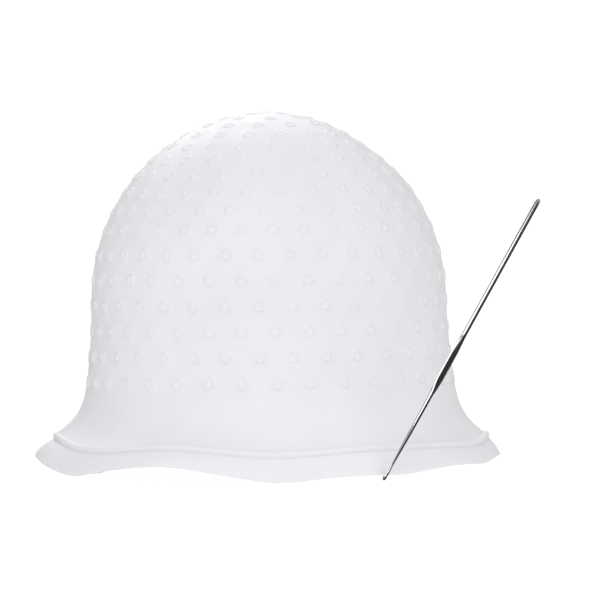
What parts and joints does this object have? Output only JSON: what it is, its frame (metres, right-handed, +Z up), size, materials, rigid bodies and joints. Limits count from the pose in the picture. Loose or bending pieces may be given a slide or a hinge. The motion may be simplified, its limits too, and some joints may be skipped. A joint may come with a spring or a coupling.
{
  "type": "highlighting cap with pulling hook",
  "caption": "Domed silicone highlighting cap with ring bosses, a flared skirt, a beaded wavy hem and a slim steel crochet hook for pulling hair strands through.",
  "frame": {"origin": "on the floor the cap stands on, under the middle of the cap and hook together", "axes": "+X to the cap's right as seen from the front, towards the leaning hook, +Y towards the back of the head, +Z up through the crown"},
  "size_m": [0.2345, 0.2158, 0.1705],
  "materials": {
    "silicone": "satin, slightly translucent white",
    "steel": "bright plated"
  },
  "bodies": {
    "cap": {"silicone_cap": "silicone"},
    "hook": {"pulling_hook": "steel"}
  },
  "joints": [
    {"name": "hook_draw", "type": "slide", "parent": "cap", "child": "hook", "axis": [0.4959, 0.1466, 0.8559], "range_m": [0, 0.15]}
  ]
}
